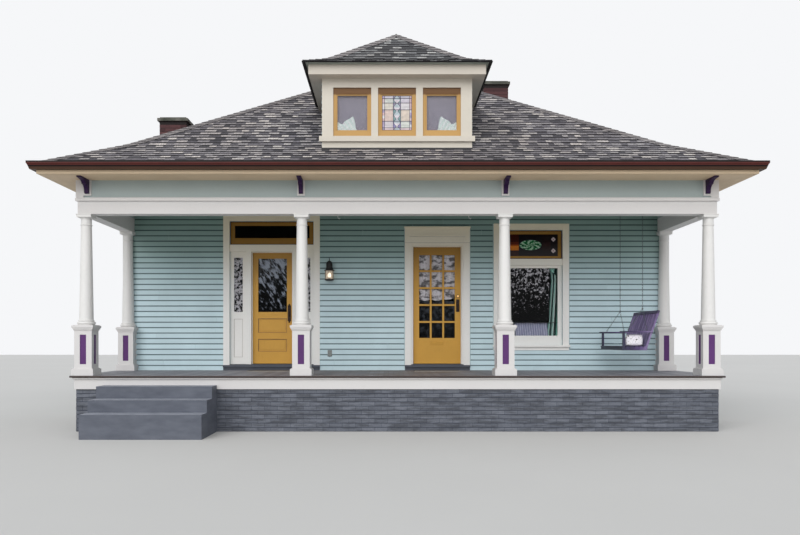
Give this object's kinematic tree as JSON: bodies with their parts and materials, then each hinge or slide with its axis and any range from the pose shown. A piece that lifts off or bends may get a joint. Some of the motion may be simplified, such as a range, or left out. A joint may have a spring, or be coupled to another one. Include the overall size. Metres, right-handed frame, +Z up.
{
  "type": "bungalow",
  "caption": "One-storey hip-roofed timber bungalow with a full-width columned front porch, front steps, a dormer, opening doors and a hanging porch swing.",
  "frame": {"origin": "on the ground at the foot of the front house wall, in the middle of its width, in the plane of the wall's outer face", "axes": "+X to the right seen from the front, +Y from the front of the house to the back, +Z up"},
  "size_m": [11.34, 15.655, 7.7108],
  "materials": {
    "painted_brick": "painted brick, satin",
    "white_trim": "painted, satin",
    "blue_siding": "painted clapboards, satin",
    "grey_floor": "painted floor boards, satin",
    "grey_steps": "painted, satin",
    "oak_boards": "varnished boards",
    "cream_boards": "painted boards, satin",
    "gutter_brown": "brown coated sheet",
    "purple_paint": "painted, satin",
    "ochre_paint": "painted, satin",
    "window_glass": "clear float glass",
    "bronze": "oiled bronze",
    "shingles": "mixed grey shingles on a timber deck",
    "chimney_brick": "weathered red-brown brick",
    "chain_steel": "galvanised, weathered",
    "swing_pillow": "printed cotton",
    "curtain": "striped cotton",
    "lantern": "black powder coat",
    "mat": "coir on rubber"
  },
  "bodies": {
    "root": {"foundation_sides": "painted_brick", "foundation_ends": "painted_brick", "porch_foundation": "painted_brick", "skirt_boards": "white_trim", "entry_steps": "grey_steps", "porch_floor": "grey_floor", "house_floor": "oak_boards", "door_sills": "grey_steps", "front_wall_left": "blue_siding", "front_wall_middle": "blue_siding", "front_wall_right": "blue_siding", "front_wall_headers": "blue_siding", "left_wall": "blue_siding", "right_wall": "blue_siding", "back_wall": "blue_siding", "corner_boards": "white_trim", "attic_floor": "cream_boards", "porch_ceiling": "cream_boards", "porch_beams": "white_trim", "frieze": "blue_siding", "eave_boards": "cream_boards", "gutters": "gutter_brown", "bracket_boards": "white_trim", "eave_brackets": "purple_paint", "pedestals": "white_trim", "pedestal_panels": "purple_paint", "columns": "white_trim", "front_casings": "white_trim", "door_frames": "white_trim", "sidelights": "white_trim", "transom_sashes": "ochre_paint", "front_window_sash": "white_trim", "front_glass": "window_glass", "plain_window_frames": "white_trim", "plain_window_glass": "window_glass", "dormer_walls": "white_trim", "dormer_sashes": "ochre_paint", "dormer_glass": "window_glass", "dormer_eaves": "white_trim", "dormer_roof": "shingles", "roof_front": "shingles", "roof_left": "shingles", "roof_right": "shingles", "roof_back": "shingles", "chimneys": "chimney_brick", "swing_hooks": "chain_steel", "wall_lantern": "lantern", "doormats": "mat", "window_curtain": "curtain", "door_hinges": "bronze"},
    "entry_door": {"entry_door": "ochre_paint", "entry_door_glass": "window_glass", "entry_door_hardware": "bronze"},
    "second_door": {"second_door": "ochre_paint", "second_door_glass": "window_glass", "second_door_hardware": "bronze"},
    "porch_swing": {"swing_bench": "purple_paint", "swing_chains": "chain_steel", "swing_pillow": "swing_pillow"}
  },
  "joints": [
    {"name": "entry_door_hinge", "type": "hinge", "parent": "root", "child": "entry_door", "pos_m": [-2.7235, 0.156, 1.014], "axis": [0, 0, 1], "range_deg": [0, 95]},
    {"name": "second_door_hinge", "type": "hinge", "parent": "root", "child": "second_door", "pos_m": [0.3185, 0.156, 1.014], "axis": [0, 0, 1], "range_deg": [0, 95]},
    {"name": "porch_swing_hinge", "type": "hinge", "parent": "root", "child": "porch_swing", "pos_m": [4.12, -0.915, 3.894], "axis": [0, 1, 0], "range_deg": [-10, 10]}
  ]
}
